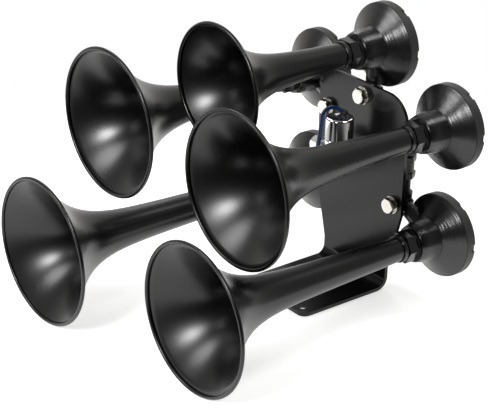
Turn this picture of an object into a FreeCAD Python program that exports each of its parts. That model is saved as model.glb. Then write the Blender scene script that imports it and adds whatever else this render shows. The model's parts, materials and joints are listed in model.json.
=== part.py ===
import FreeCAD, Part
import math
import os
import re
import Sketcher

# Five-trumpet train air horn, in millimetres.
# X goes to the right, the bells look along -Y, Z is up from the ground.
# The origin lies on the ground, in the middle of the foot's flat underside.

os.makedirs("parts", exist_ok=True)
doc = FreeCAD.newDocument("TrainHorn")
Vector = FreeCAD.Vector
Rotation = FreeCAD.Rotation
Placement = FreeCAD.Placement

# Sizes
SIZES = {
    # Places of the trumpets and of their chambers
    "row_spread": 101.0,
    "upper_rise": 121.0,
    "top_rise": 179.0,
    "chamber_front": 19.0,
    "length_top": 216.0,
    "length_upper_left": 275.0,
    "length_upper_right": 269.0,
    "length_lower_left": 356.0,
    "length_lower_right": 316.0,
    # Trumpets
    "bell_radius": 78.0,
    "top_bell_radius": 64.5,
    "trumpet_wall": 1.6,
    "lip_bead": 2.0,
    "cone_start": 20.4,
    "top_cone_start": 18.9,
    "cone_end": 11.0,
    "flare_share": 0.48,
    "flare_power_share": 1.3,
    "station_share": 1.6,
    "collar_radius": 14.2,
    "collar_wide": 5.0,
    "nut_room": 1.2,
    "spigot_radius": 9.5,
    "spigot_long": 33.5,
    "spigot_bore": 7.6,
    "throat_radius": 5.5,
    # Lock nuts behind the collars
    "nut_flat": 29.0,
    "nut_thick": 12.0,
    "nut_flange_radius": 16.5,
    "nut_flange_thick": 1.8,
    # Power chambers, measured from the front face of the neck
    "chamber_radius": 44.0,
    "chamber_long": 38.0,
    "neck_front_radius": 18.3,
    "neck_edge": 1.0,
    "neck_swell_radius": 21.2,
    "neck_swell_long": 8.0,
    "neck_radius": 22.0,
    "cone_long": 13.1,
    "groove_wide": 0.6,
    "groove_deep": 0.7,
    "rim_wide": 0.7,
    "skirt_radius": 41.5,
    "skirt_inner": 37.5,
    "skirt_long": 7.5,
    "ledge_radius": 34.0,
    "seat_rise": 3.0,
    "nozzle_radius": 8.5,
    "nozzle_deep": 20.0,
    "cavity_setback": 10.2,
    "cavity_radius": 20.0,
    "ledge_setback": 2.0,
    "port_setback": 7.5,
    "port_boss_radius": 9.5,
    "port_boss_end": 39.0,
    "port_boss_start": 20.0,
    "port_start": 22.0,
    # Diaphragms and their rings
    "diaphragm_radius": 37.2,
    "diaphragm_thick": 0.4,
    "diaphragm_lift": 0.5,
    "ring_inner": 33.5,
    "ring_thick": 1.4,
    # Screwed caps
    "cap_radius": 44.5,
    "cap_edge": 1.0,
    "cap_wide": 11.1,
    "cap_back": 2.6,
    "cap_plug_inner": 33.0,
    "notch_wide": 7.5,
    "notch_deep": 2.2,
    "notch_long": 5.0,
    # Bracket
    "plate_thick": 4.0,
    "plate_half_wide": 68.0,
    "plate_clear": 14.5,
    "plate_corner": 30.0,
    "taper_rise": 15.0,
    "taper_low": 24.0,
    "foot_half_wide": 50.0,
    "foot_reach": 116.0,
    "foot_corner": 9.0,
    "bend_inner": 10.0,
    "foot_hole_radius": 4.5,
    "foot_hole_side": 36.0,
    "foot_hole_inset": 11.0,
    # Pipework behind the plate
    "chain_side": 54.0,
    "chain_drop": 23.0,
    "top_drop": 51.0,
    "bar_rise": 64.0,
    "pipe_radius": 6.6,
    "pipe_bore": 4.6,
    "elbow_radius": 9.5,
    "elbow_arm": 12.0,
    "socket_deep": 6.0,
    "arm_end": 45.9,
    "boss_radius": 9.0,
    "cross_arm": 17.0,
    "top_arm": 16.0,
    "tee_arm": 16.0,
    "tee_half": 12.0,
    "collar_flat": 20.0,
    "collar_high": 6.0,
    "collar_offset": 3.0,
    "nipple_hex_high": 6.5,
    "port_reach": 27.0,
    "nipple_end": 50.5,
    "nipple_flat": 15.5,
    # Bolts that carry the pipework
    "bolt_radius": 5.0,
    "bolt_flat": 15.5,
    "bolt_head": 6.4,
    "crown_share": 0.95,
    "bolt_grip": 4.6,
    "washer_radius": 9.6,
    "washer_thick": 1.6,
    # Air valve in front of the plate
    "valve_out": 34.5,
    "valve_half_wide": 14.5,
    "inlet_boss_radius": 8.0,
    "inlet_boss_end": 24.0,
    "valve_half_deep": 15.0,
    "valve_below": 11.5,
    "valve_above": 15.5,
    "valve_edge": 3.0,
    "seat_radius": 7.0,
    "seat_high": 10.5,
    "seat_bore": 4.0,
    "well_radius": 12.0,
    "well_floor": 6.5,
    "inlet_bore": 3.0,
    "inlet_rise": 5.5,
    "inlet_deep": 7.0,
    "inlet_radius": 5.5,
    "inlet_flat": 14.0,
    "inlet_neck_radius": 6.2,
    "inlet_neck_long": 4.0,
    "inlet_long": 10.0,
    "inlet_thread": 4.3,
    "inlet_thread_long": 8.0,
    "bonnet_radius": 14.0,
    "bonnet_thick": 2.4,
    "core_outer": 6.4,
    "core_inner": 5.2,
    "core_long": 26.0,
    "plunger_radius": 5.1,
    "plunger_long": 14.4,
    "plunger_lift": 2.5,
    "plunger_bore": 3.4,
    "plunger_bore_deep": 6.0,
    "disc_radius": 8.0,
    "disc_thick": 2.4,
    "spring_radius": 2.7,
    "spring_wire": 0.3,
    # Coil and its can
    "can_radius": 14.8,
    "can_lip_radius": 15.4,
    "can_lip_high": 5.0,
    "can_high": 29.2,
    "can_wall": 0.9,
    "can_edge": 1.2,
    "can_dish_radius": 10.8,
    "can_dish_deep": 0.6,
    "coil_inner": 7.5,
    "coil_outer": 12.8,
    "spool_inner": 6.6,
    "spool_flange": 13.4,
    "spool_wall": 0.9,
    "boot_left": 4.3,
    "boot_back": 10.2,
    "boot_radius": 3.9,
    "boot_tip_radius": 2.9,
    "boot_long": 4.4,
    # Lead of the coil
    "lead_radius": 2.2,
    "core_radius": 0.8,
    "core_apart": 2.0,
    "core_bare": 9.0,
    # Clearances and the overrun of every cut
    "fit": 0.05,
    "gap": 0.3,
    "overrun": 2.0,
}

sheet = doc.addObject("Spreadsheet::Sheet", "Sizes")
for row, (name, value) in enumerate(SIZES.items(), start=1):
    sheet.set(f"A{row}", name)
    sheet.set(f"B{row}", str(value))
    sheet.setAlias(f"B{row}", name)
doc.recompute()


def number(text):
    """The value of a sum of named sizes."""
    return float(sheet.evalExpression(text))


def bound(text):
    """The same sum, as an expression that another object can hold."""
    return re.sub(r"[a-z][a-z_]+", lambda word: f"Sizes.{word[0]}" if word[0] in SIZES else word[0], text)


def bind(obj, **expressions):
    for name, text in expressions.items():
        obj.setExpression(name, bound(text))


def place(obj, x="0", y="0", z="0", rotation=None):
    """Puts an object at sums of named sizes, turned by a fixed rotation."""
    obj.Placement = Placement(Vector(number(x), number(y), number(z)), rotation or Rotation())
    for axis, text in zip("xyz", (x, y, z)):
        if text != "0":
            obj.setExpression(f"Placement.Base.{axis}", bound(text))
    return obj


# The back face of the plate, from which all pieces are set off along Y
BACK = "((foot_reach + bend_inner + plate_thick) / 2)"


def seat(obj, x="0", y="0", z="0", rotation=None):
    """Puts a finished piece at its place, with Y measured from the plate's back."""
    return place(obj, x, BACK if y == "0" else f"{BACK} + {y}", z, rotation)


# Pieces are drawn along the axis they are turned on and then aimed the way they lie
UPRIGHT = Rotation(Vector(1, 0, 0), 90)
AIM = {
    "up": Rotation(),
    "down": Rotation(Vector(1, 0, 0), 180),
    "right": Rotation(Vector(0, 1, 0), 90),
    "left": Rotation(Vector(0, 1, 0), -90),
    "back": Rotation(Vector(1, 0, 0), -90),
    "front": Rotation(Vector(1, 0, 0), 90),
}
nodes = {}


def keep(label, obj):
    """Names a finished piece."""
    obj.Label = label
    nodes[label] = obj
    return obj


def pin(sketch, line, corner, across, along):
    """Fixes a point of a sketch at sums of named sizes from the origin."""
    for kind, axis, text in (("DistanceX", -2, across), ("DistanceY", -1, along)):
        value = number(text)
        if value == 0:
            sketch.addConstraint(Sketcher.Constraint("PointOnObject", line, corner, axis))
            continue
        ends = (-1, 1, line, corner) if value > 0 else (line, corner, -1, 1)
        index = sketch.addConstraint(Sketcher.Constraint(kind, *ends, abs(value)))
        sketch.setExpression(f"Constraints[{index}]", bound(text if value > 0 else f"-({text})"))


def sketch_on(body, name, plane):
    sketch = body.newObject("Sketcher::SketchObject", name)
    support = next(item for item in body.Origin.OriginFeatures if item.Role == plane)
    sketch.AttachmentSupport = [(support, "")]
    sketch.MapMode = "FlatFace"
    return sketch


def outline(body, name, plane, corners):
    """A closed sketch of straight lines through corners at sums of named sizes."""
    sketch = sketch_on(body, name, plane)
    points = [Vector(number(across), number(along), 0) for across, along in corners]
    for start, end in zip(points, points[1:] + points[:1]):
        sketch.addGeometry(Part.LineSegment(start, end), False)
    for index, (across, along) in enumerate(corners):
        before = (index - 1) % len(corners)
        sketch.addConstraint(Sketcher.Constraint("Coincident", before, 2, index, 1))
        pin(sketch, index, 1, across, along)
    return sketch


def circles(body, name, plane, radius, centres):
    """A sketch of equal circles."""
    sketch = sketch_on(body, name, plane)
    for index, (across, along) in enumerate(centres):
        centre = Vector(number(across), number(along), 0)
        sketch.addGeometry(Part.Circle(centre, Vector(0, 0, 1), number(radius)), False)
        pin(sketch, index, 3, across, along)
        size = sketch.addConstraint(Sketcher.Constraint("Radius", index, number(radius)))
        sketch.setExpression(f"Constraints[{size}]", bound(radius))
    return sketch


def around(body, kind, sketch):
    """Turns a sketch about its upright axis, to add or to cut."""
    feature = body.newObject(f"PartDesign::{kind}", kind)
    feature.Profile = sketch
    feature.ReferenceAxis = (sketch, ["V_Axis"])
    feature.Angle = 360
    sketch.Visibility = False
    return feature


def straight(body, kind, sketch, length, middle=False, back=False):
    """Pads or pockets a sketch by a sum of named sizes."""
    feature = body.newObject(f"PartDesign::{kind}", kind)
    feature.Profile = sketch
    feature.Length = number(length)
    feature.setExpression("Length", bound(length))
    feature.SideType = "Symmetric" if middle else "One side"
    feature.Reversed = back
    return feature


def turned(label, corners):
    """A round piece: corners are (radius, distance along the axis)."""
    body = doc.addObject("PartDesign::Body", label)
    around(body, "Revolution", outline(body, "Section", "XY_Plane", corners))
    return keep(label, body)


def rod(radius, length, x="0", y="0", z="0", aim="up", rotation=None):
    """A plain cylinder, to join or to cut with."""
    cylinder = doc.addObject("Part::Cylinder", "Rod")
    bind(cylinder, Radius=radius, Height=length)
    return place(cylinder, x, y, z, rotation or AIM[aim])


def hexagon(flat, length, x="0", y="0", z="0", aim="up", crown=False):
    """A hexagon bar across its flats, with its far end crowned on request."""
    prism = doc.addObject("Part::Prism", "Hexagon")
    prism.Polygon = 6
    bind(prism, Circumradius=f"({flat}) / sqrt(3)", Height=length)
    if crown:
        cone = doc.addObject("Part::Cone", "Crown")
        small = f"({flat}) / 2 * crown_share"
        bind(cone, Radius1=f"{small} + ({length}) * sqrt(3)", Radius2=small, Height=length)
        both = doc.addObject("Part::Common", "Crowned")
        both.Base = prism
        both.Tool = cone
        prism = both
    return place(prism, x, y, z, AIM[aim])


def joined(solids, cuts=()):
    """Fuses pieces into one solid and then cuts others out of it."""
    whole = solids[0]
    if len(solids) > 1:
        whole = doc.addObject("Part::MultiFuse", "Joined")
        whole.Shapes = solids
    for tool in cuts:
        cut = doc.addObject("Part::Cut", "Bored")
        cut.Base = whole
        cut.Tool = tool
        whole = cut
    return whole


def group(label, solids):
    """Equal pieces that share one name."""
    together = doc.addObject("Part::Compound", label)
    together.Links = solids
    return keep(label, seat(together))


# Places of the five horns, as the eye meets them from the front
LOW = "bell_radius"
MIDDLE = "bell_radius + upper_rise"
TOP = "bell_radius + top_rise"
HORNS = {
    "top": ("0", TOP),
    "upper_left": ("-row_spread", MIDDLE),
    "upper_right": ("row_spread", MIDDLE),
    "lower_left": ("-row_spread", LOW),
    "lower_right": ("row_spread", LOW),
}
# Plane of the pipework, through the middle of the chambers' ports
RING = "(chamber_front - port_setback)"
# Heights and lengths that follow from the sizes
BAR = "(bell_radius + bar_rise)"
PLATE_TOP = "(bell_radius + top_rise - neck_radius - plate_clear)"
TAPER_TOP = "(bell_radius + taper_rise)"
NECK_LONG = "(chamber_long - rim_wide - cone_long - groove_wide)"
CAVITY_FRONT = "(chamber_long - cavity_setback)"
CAVITY_REAR = "(chamber_long - ledge_setback)"
COLLAR_GAP = "(chamber_long + nut_flange_thick + nut_thick + nut_room)"
CHAIN_HIGH = "bell_radius + upper_rise - chain_drop"
CHAIN_LOW = "bell_radius + chain_drop"
CHAIN_TOP = "bell_radius + top_rise - top_drop"
# Places of the fitting that feeds each horn
FEEDS = {
    "top": ("0", CHAIN_TOP),
    "upper_left": ("-chain_side", CHAIN_HIGH),
    "upper_right": ("chain_side", CHAIN_HIGH),
    "lower_left": ("-chain_side", CHAIN_LOW),
    "lower_right": ("chain_side", CHAIN_LOW),
}


def port_turn(name):
    """How far a horn is turned about its axis, so that its port, drawn below, faces its fitting."""
    across = number(FEEDS[name][0]) - number(HORNS[name][0])
    along = number(FEEDS[name][1]) - number(HORNS[name][1])
    return math.degrees(math.atan2(-across, -along))


# Trumpets: a cone whose radius grows by a falling power of e towards the mouth,
# drawn as one section with an even wall and a full round lip, then spun
def trumpet(name):
    top = name == "top"
    length = number(f"length_{name}")
    mouth = number("top_bell_radius" if top else "bell_radius")
    bead = number("lip_bead")
    wall = number("trumpet_wall")
    start = number("top_cone_start" if top else "cone_start")
    finish = number("cone_end")
    collar = length - number(f"{COLLAR_GAP} + collar_wide")
    reach = mouth * number("flare_share")
    power = number("flare_power_share")
    swell = mouth - bead - start

    def radius(along):
        return start + (finish - start) * along / collar + swell * math.exp(-((along / reach) ** power))

    def slope(along):
        fall = -swell * power / reach * (along / reach) ** (power - 1)
        return (finish - start) / collar + fall * math.exp(-((along / reach) ** power))

    stations = 18
    inside = []
    outside = []
    for step in range(stations + 1):
        along = bead + (collar - bead) * (step / stations) ** number("station_share")
        steep = slope(along)
        unit = wall / math.hypot(1, steep)
        inside.append(Vector(radius(along), along, 0))
        outside.append(Vector(radius(along) + unit, along - steep * unit, 0))
    inner = Part.BSplineCurve()
    inner.interpolate(inside)
    outer = Part.BSplineCurve()
    outer.interpolate(outside)
    collar_end = collar + number("collar_wide")
    end = collar_end + number("spigot_long")
    corners = [
        outside[-1],
        Vector(number("collar_radius"), outside[-1].y, 0),
        Vector(number("collar_radius"), collar_end, 0),
        Vector(number("spigot_radius"), collar_end, 0),
        Vector(number("spigot_radius"), end, 0),
        Vector(number("throat_radius"), end, 0),
        Vector(number("spigot_bore"), collar_end, 0),
        inside[-1],
    ]
    edges = [inner.toShape(), outer.toShape(), Part.LineSegment(inside[0], outside[0]).toShape()]
    edges += [Part.LineSegment(a, b).toShape() for a, b in zip(corners, corners[1:])]
    section = Part.Face(Part.Wire(Part.__sortEdges__(edges)))
    ring = Part.Circle(Vector(mouth - bead, bead, 0), section.normalAt(0, 0), bead)
    lip = Part.Face(Part.Wire(ring.toShape()))
    section = section.fuse(lip).removeSplitter().Faces[0]
    horn = doc.addObject("Part::Feature", f"trumpet_{name}")
    horn.Shape = section.revolve(Vector(), Vector(0, 1, 0), 360)
    across, high = HORNS[name]
    seat(horn, across, f"chamber_front - length_{name}", high)
    return keep(f"trumpet_{name}", horn)


def lock_nut(name):
    """A hexagon nut with a round flange that jams the trumpet in its chamber."""
    nut = joined(
        [
            hexagon("nut_flat", "nut_thick", aim="back"),
            rod("nut_flange_radius", "nut_flange_thick", y="nut_thick", aim="back"),
        ],
        [rod("spigot_radius + fit", "nut_thick + nut_flange_thick + overrun", y="-overrun / 2", aim="back")],
    )
    across, high = HORNS[name]
    front = "chamber_front - chamber_long - gap - nut_flange_thick - nut_thick"
    return place(nut, across, front, high)


# Power chambers: a turned housing with a side boss for the air, its rear open for the diaphragm
def chamber(name):
    body = doc.addObject("PartDesign::Body", f"chamber_{name}")
    outside = [
        ("0", "0"),
        ("neck_front_radius", "0"),
        ("neck_front_radius + neck_edge", "neck_edge"),
        ("neck_swell_radius", "neck_swell_long"),
        ("neck_radius", NECK_LONG),
        ("neck_radius - groove_deep", NECK_LONG),
        ("neck_radius - groove_deep", f"{NECK_LONG} + groove_wide"),
        ("neck_radius", f"{NECK_LONG} + groove_wide"),
        ("chamber_radius", "chamber_long - rim_wide"),
        ("chamber_radius", "chamber_long"),
        ("skirt_radius", "chamber_long"),
        ("skirt_radius", "chamber_long + skirt_long"),
        ("0", "chamber_long + skirt_long"),
    ]
    around(body, "Revolution", outline(body, "Outside", "XY_Plane", outside))
    boss = circles(body, "Boss", "XY_Plane", "port_boss_radius", [("0", "chamber_long - port_setback")])
    boss.AttachmentOffset.Base.z = -number("port_boss_start")
    boss.setExpression("AttachmentOffset.Base.z", bound("-port_boss_start"))
    straight(body, "Pad", boss, "port_boss_end - port_boss_start", back=True)
    bore = [
        ("0", "0"),
        ("spigot_radius + fit", "0"),
        ("spigot_radius + fit", "nozzle_deep"),
        ("throat_radius", "nozzle_deep"),
        ("throat_radius", "chamber_long + seat_rise"),
        ("0", "chamber_long + seat_rise"),
    ]
    around(body, "Groove", outline(body, "Bore", "XY_Plane", bore))
    cavity = [
        ("nozzle_radius", CAVITY_FRONT),
        ("cavity_radius", CAVITY_FRONT),
        ("ledge_radius", CAVITY_REAR),
        ("ledge_radius", "chamber_long + seat_rise"),
        ("skirt_inner", "chamber_long + seat_rise"),
        ("skirt_inner", "chamber_long + skirt_long + overrun"),
        ("0", "chamber_long + skirt_long + overrun"),
        ("0", "chamber_long + seat_rise"),
        ("nozzle_radius", "chamber_long + seat_rise"),
    ]
    around(body, "Groove", outline(body, "Cavity", "XY_Plane", cavity))
    port = circles(body, "Port", "XY_Plane", "pipe_radius + fit", [("0", "chamber_long - port_setback")])
    port.AttachmentOffset.Base.z = -number("port_start")
    port.setExpression("AttachmentOffset.Base.z", bound("-port_start"))
    straight(body, "Pocket", port, "chamber_radius - port_start + overrun")
    across, high = HORNS[name]
    turn = Rotation(Vector(0, 1, 0), port_turn(name))
    seat(body, across, "chamber_front - chamber_long", high, turn)
    return keep(f"chamber_{name}", body)


def diaphragm(name):
    disc = turned(
        f"diaphragm_{name}",
        [
            ("0", "0"),
            ("diaphragm_radius", "0"),
            ("diaphragm_radius", "diaphragm_thick"),
            ("0", "diaphragm_thick"),
        ],
    )
    across, high = HORNS[name]
    return seat(disc, across, "chamber_front + seat_rise + fit", high)


# The ring that holds the diaphragm's edge, with the play that the diaphragm beats in
RING_REAR = "seat_rise + 2 * fit + diaphragm_thick + diaphragm_lift + ring_thick"


def seal_ring(name):
    ring = turned(
        f"seal_ring_{name}",
        [
            ("ring_inner", "0"),
            ("diaphragm_radius", "0"),
            ("diaphragm_radius", "ring_thick"),
            ("ring_inner", "ring_thick"),
        ],
    )
    across, high = HORNS[name]
    return seat(ring, across, f"chamber_front + {RING_REAR} - ring_thick", high)


def cap(name):
    """A round cap that screws over the skirt, with six slots round its rear edge for a spanner."""
    body = doc.addObject("PartDesign::Body", f"cap_{name}")
    section = [
        ("0", "cap_wide"),
        ("cap_radius - cap_edge", "cap_wide"),
        ("cap_radius", "cap_wide - cap_edge"),
        ("cap_radius", "0"),
        ("skirt_radius + gap", "0"),
        ("skirt_radius + gap", "skirt_long"),
        ("diaphragm_radius", "skirt_long"),
        ("diaphragm_radius", f"{RING_REAR} - gap"),
        ("cap_plug_inner", f"{RING_REAR} - gap"),
        ("cap_plug_inner", "cap_wide - cap_back"),
        ("0", "cap_wide - cap_back"),
    ]
    around(body, "Revolution", outline(body, "Section", "XY_Plane", section))
    slot = outline(
        body,
        "Slot",
        "XY_Plane",
        [
            ("cap_radius - notch_deep", "cap_wide - notch_long"),
            ("cap_radius + overrun", "cap_wide - notch_long"),
            ("cap_radius + overrun", "cap_wide + overrun"),
            ("cap_radius - notch_deep", "cap_wide + overrun"),
        ],
    )
    pocket = straight(body, "Pocket", slot, "notch_wide", middle=True)
    doc.recompute()
    slots = body.newObject("PartDesign::PolarPattern", "Slots")
    slots.Originals = [pocket]
    slots.Axis = (next(item for item in body.Origin.OriginFeatures if item.Role == "Y_Axis"), [""])
    slots.Angle = 360
    slots.Occurrences = 6
    body.Tip = slots
    across, high = HORNS[name]
    seat(body, across, "chamber_front + gap", high)
    return keep(f"cap_{name}", body)


for name in HORNS:
    trumpet(name)
    chamber(name)
    diaphragm(name)
    seal_ring(name)
    cap(name)
group("lock_nuts", [lock_nut(name) for name in HORNS])


# Bracket: one bent plate, narrower below the lower horns, with a foot that lies on the ground
def edges_at(shape, *places):
    """Names of the straight edges whose middle lies at one of the given places (None: anywhere)."""
    found = []
    near = number("gap")
    for index, edge in enumerate(shape.Edges, start=1):
        middle = edge.BoundBox.Center
        for where in places:
            if all(want is None or abs(have - want) < near for have, want in zip(middle, where)):
                found.append(f"Edge{index}")
    return found


def fillet(body, base, radius, *places):
    doc.recompute()
    feature = body.newObject("PartDesign::Fillet", "Fillet")
    feature.Base = (base, edges_at(base.Shape, *places))
    bind(feature, Radius=radius)
    body.Tip = feature
    return feature


def mounting_bracket():
    body = doc.addObject("PartDesign::Body", "mounting_bracket")
    side = [
        ("0", "0"),
        ("-foot_reach", "0"),
        ("-foot_reach", "plate_thick"),
        ("-plate_thick", "plate_thick"),
        ("-plate_thick", PLATE_TOP),
        ("0", PLATE_TOP),
    ]
    bent = straight(body, "Pad", outline(body, "Side", "YZ_Plane", side), "2 * plate_half_wide", middle=True)
    thick = number("plate_thick")
    bent = fillet(body, bent, "bend_inner", (0, -thick, thick))
    bent = fillet(body, bent, "bend_inner + plate_thick", (0, 0, 0))
    waste = [
        ("foot_half_wide", "-overrun"),
        ("plate_half_wide + overrun", "-overrun"),
        ("plate_half_wide + overrun", TAPER_TOP),
        ("plate_half_wide", TAPER_TOP),
        ("foot_half_wide", "taper_low"),
    ]
    trim = straight(
        body,
        "Pocket",
        outline(body, "Waste", "XZ_Plane", waste),
        "2 * (foot_reach + overrun)",
        middle=True,
    )
    doc.recompute()
    both = body.newObject("PartDesign::Mirrored", "BothSides")
    both.Originals = [trim]
    both.MirrorPlane = (next(item for item in body.Origin.OriginFeatures if item.Role == "YZ_Plane"), [""])
    body.Tip = both
    wide = number("plate_half_wide")
    high = number(PLATE_TOP)
    foot = number("foot_half_wide")
    reach = number("foot_reach")
    shaped = fillet(body, both, "plate_corner", (wide, -thick / 2, high), (-wide, -thick / 2, high))
    fillet(body, shaped, "foot_corner", (foot, -reach, thick / 2), (-foot, -reach, thick / 2))
    carried = circles(body, "BoltHoles", "XZ_Plane", "bolt_radius + gap", FEEDS.values())
    straight(body, "Pocket", carried, "2 * (plate_thick + overrun)", middle=True)
    air = circles(body, "AirHole", "XZ_Plane", "pipe_radius + 2 * gap", [("0", BAR)])
    straight(body, "Pocket", air, "2 * (plate_thick + overrun)", middle=True)
    front = "-(foot_reach - foot_hole_inset)"
    ends = [("foot_hole_side", front), ("-foot_hole_side", front)]
    floor = circles(body, "FootHoles", "XY_Plane", "foot_hole_radius", ends)
    straight(body, "Pocket", floor, "2 * (plate_thick + overrun)", middle=True)
    return keep("mounting_bracket", seat(body))


def bracket_bolt(across, high):
    """A hexagon bolt whose head bears on a washer at the plate's front."""
    under = "-(plate_thick + washer_thick)"
    bolt = joined(
        [
            hexagon("bolt_flat", "bolt_head", aim="front", crown=True),
            rod("bolt_radius", "plate_thick + washer_thick + bolt_grip", aim="back"),
        ]
    )
    return place(bolt, across, under, high)


def washer(across, high):
    ring = joined(
        [rod("washer_radius", "washer_thick", aim="front")],
        [rod("bolt_radius + gap", "washer_thick + 2 * overrun", y="overrun", aim="front")],
    )
    return place(ring, across, "-plate_thick", high)


# Pipework behind the plate: threaded pipe in sockets, all on one plane
def socket(length, turn):
    """Cuts one arm of a fitting: a socket for the pipe's end, and the air way on to the middle."""
    start = turn.multVec(Vector(0, 0, 1))
    deep = [f"({length} - socket_deep) * {round(part, 6)}" for part in start]
    return [
        rod("pipe_radius + fit", "socket_deep + overrun", *deep, rotation=turn),
        rod("pipe_bore", length, rotation=turn),
    ]


def port_socket(apart, turn):
    """Cuts the socket that holds the end of a chamber's nipple."""
    start = turn.multVec(Vector(0, 0, 1))
    deep = [f"({apart} - nipple_end - gap) * {round(part, 6)}" for part in start]
    return rod("pipe_radius + fit", "nipple_end + gap - arm_end + boss_radius", *deep, rotation=turn)


def bolt_boss():
    """The flat boss that a fitting bears on the plate with."""
    return rod("boss_radius", RING, aim="front")


def boss_thread():
    return rod("bolt_radius + fit", "bolt_grip + gap + overrun", y=f"-({RING} + overrun)", aim="back")


def ball():
    sphere = doc.addObject("Part::Sphere", "Ball")
    bind(sphere, Radius="elbow_radius")
    return sphere


# How far a slanting elbow's middle lies from its horn's axis
SLANT = "sqrt((row_spread - chain_side)^2 + chain_drop^2)"


def elbow(name):
    """A cast elbow: one arm up or down to the tee, a short one slanting to the chamber's port."""
    across, high = FEEDS[name]
    away = AIM["down" if name.startswith("upper") else "up"]
    slant = Rotation(Vector(0, 1, 0), port_turn(name))
    solids = [
        ball(),
        rod("elbow_radius", "elbow_arm", rotation=away),
        rod("elbow_radius", f"{SLANT} - arm_end", rotation=slant),
        bolt_boss(),
    ]
    cuts = socket("elbow_arm", away) + [
        port_socket(SLANT, slant),
        boss_thread(),
    ]
    return keep(f"elbow_{name}", seat(joined(solids, cuts), across, RING, high))


def cross_fitting():
    """Air comes in from the valve through the plate and leaves to both sides and upwards."""
    solids = [
        rod("elbow_radius", "2 * cross_arm", x="-cross_arm", aim="right"),
        rod("elbow_radius", "cross_arm"),
        rod("boss_radius", RING, aim="front"),
    ]
    cuts = socket("cross_arm", AIM["left"]) + socket("cross_arm", AIM["right"])
    cuts += socket("cross_arm", AIM["up"]) + socket(RING, AIM["front"])
    return keep("cross_fitting", seat(joined(solids, cuts), "0", RING, BAR))


def tee(side, sign):
    """Shares the air between an upper and a lower elbow, with a hexagon at each end for a wrench."""
    inward = AIM["left" if sign > 0 else "right"]
    solids = [
        rod("elbow_radius", "2 * tee_half", z="-tee_half"),
        rod("elbow_radius", "tee_arm", rotation=inward),
        hexagon("collar_flat", "collar_high", z="collar_offset + collar_high / 2"),
        hexagon("collar_flat", "collar_high", z="-(collar_offset + 3 * collar_high / 2)"),
    ]
    cuts = socket("tee_half", AIM["up"]) + socket("tee_half", AIM["down"]) + socket("tee_arm", inward)
    across = "chain_side" if sign > 0 else "-chain_side"
    return keep(f"tee_{side}", seat(joined(solids, cuts), across, RING, BAR))


def top_fitting():
    """A straight socket that the riser feeds and that the top horn stands on."""
    up = "top_drop - arm_end"
    solids = [
        rod("elbow_radius", f"top_arm + {up}", z="-top_arm"),
        bolt_boss(),
    ]
    cuts = socket("top_arm", AIM["down"]) + [port_socket("top_drop", AIM["up"]), boss_thread()]
    return keep("top_fitting", seat(joined(solids, cuts), "0", RING, CHAIN_TOP))


def pipe(length, x="0", y="0", z="0", aim="up", hexagon_at=None):
    """A piece of threaded pipe, with a hexagon for a wrench where one is wanted."""
    solids = [rod("pipe_radius", length, aim=aim)]
    if hexagon_at:
        solids.append(hexagon("nipple_flat", "nipple_hex_high", z=hexagon_at))
    bore = rod("pipe_bore", f"{length} + 2 * overrun", aim=aim)
    away = AIM[aim].multVec(Vector(0, 0, -1))
    place(bore, *[f"overrun * {part}" for part in away], AIM[aim])
    return place(joined(solids, [bore]), x, y, z)


def chamber_nipple(name):
    """The short pipe between a fitting and its chamber's port."""
    far = "top_drop" if name == "top" else SLANT
    length = "nipple_end - port_reach"
    tube = joined(
        [rod("pipe_radius", length, z="-nipple_end")],
        [rod("pipe_bore", f"{length} + 2 * overrun", z="-(nipple_end + overrun)")],
    )
    across, high = HORNS[name]
    turn = Rotation(Vector(0, 1, 0), port_turn(name))
    return place(tube, across, RING, high, turn)


def pipework():
    for name in FEEDS:
        if name != "top":
            elbow(name)
    top_fitting()
    cross_fitting()
    tee("left", -1)
    tee("right", 1)
    inner = "cross_arm - socket_deep + gap"
    outer = "chain_side - tee_arm + socket_deep - gap"
    span = f"({outer}) - ({inner})"
    left = pipe(span, f"-({outer})", RING, BAR, "right")
    right = pipe(span, inner, RING, BAR, "right")
    group("cross_pipes", [left, right])
    low = f"{BAR} + cross_arm - socket_deep + gap"
    high = f"{CHAIN_TOP} - top_arm + socket_deep - gap"
    keep("riser_pipe", seat(pipe(f"({high}) - ({low})"), "0", RING, low))
    start = "tee_half - socket_deep + gap"
    end = "elbow_arm - socket_deep + gap"
    upper = f"({CHAIN_HIGH} - ({end})) - ({BAR} + {start})"
    middle = f"({upper}) / 2 - nipple_hex_high / 2"
    lower = f"({BAR} - ({start})) - ({CHAIN_LOW} + {end})"
    sides = ("-chain_side", "chain_side")
    upper_pair = [pipe(upper, side, RING, f"{BAR} + {start}", "up", middle) for side in sides]
    lower_pair = [pipe(lower, side, RING, f"{CHAIN_LOW} + {end}") for side in sides]
    group("upper_nipples", upper_pair)
    group("lower_nipples", lower_pair)
    group("chamber_nipples", [chamber_nipple(name) for name in FEEDS])


pipework()
mounting_bracket()
group("bracket_bolts", [bracket_bolt(*FEEDS[name]) for name in FEEDS])
group("bracket_washers", [washer(*FEEDS[name]) for name in FEEDS])


# Air valve: a block with a raised seat, closed by a sprung plunger that a coil lifts
VALVE_TOP = f"{BAR} + valve_above"
PLUNGER_LOW = f"{BAR} + seat_high + fit + disc_thick"
CAN_TOP = f"{VALVE_TOP} + bonnet_thick + can_high"
# The fixed stop ends where the plunger's top comes to at its full lift
STOP_LOW = f"{PLUNGER_LOW} + plunger_long + plunger_lift + fit"
SPRING_LOW = f"{PLUNGER_LOW} + plunger_long - plunger_bore_deep"


def in_valve(obj, high):
    return seat(obj, "0", "-valve_out", high, UPRIGHT)


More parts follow.
